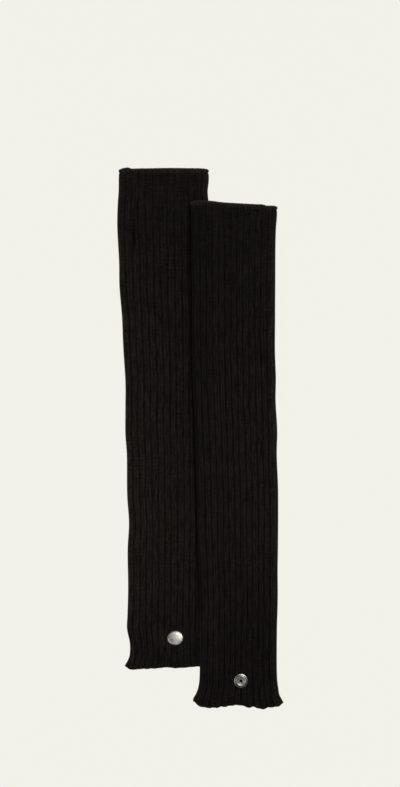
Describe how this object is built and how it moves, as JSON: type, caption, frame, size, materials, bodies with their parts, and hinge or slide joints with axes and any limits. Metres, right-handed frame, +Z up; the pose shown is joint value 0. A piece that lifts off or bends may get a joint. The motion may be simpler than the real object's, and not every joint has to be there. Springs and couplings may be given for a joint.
{
  "type": "pair of arm warmers",
  "caption": "Pair of black rib-knit arm warmers laid flat, one over the other's edge, each with a fluted hem and a press snap.",
  "frame": {"origin": "middle of the bounding box's bottom face, on the surface that the pair lies on", "axes": "+X to the right across the sleeves, +Y along the sleeves towards their upper edges, +Z up off the surface"},
  "size_m": [0.1501, 0.4872, 0.0134],
  "materials": {
    "black_rib_knit": "matt wool-blend rib knit",
    "nickel_plate": "satin nickel plate on brass"
  },
  "bodies": {
    "root": {"left_warmer": "black_rib_knit", "right_warmer": "black_rib_knit", "left_snap_cap": "nickel_plate", "left_snap_socket": "nickel_plate", "right_snap_socket": "nickel_plate", "right_snap_plate": "nickel_plate"}
  },
  "joints": []
}
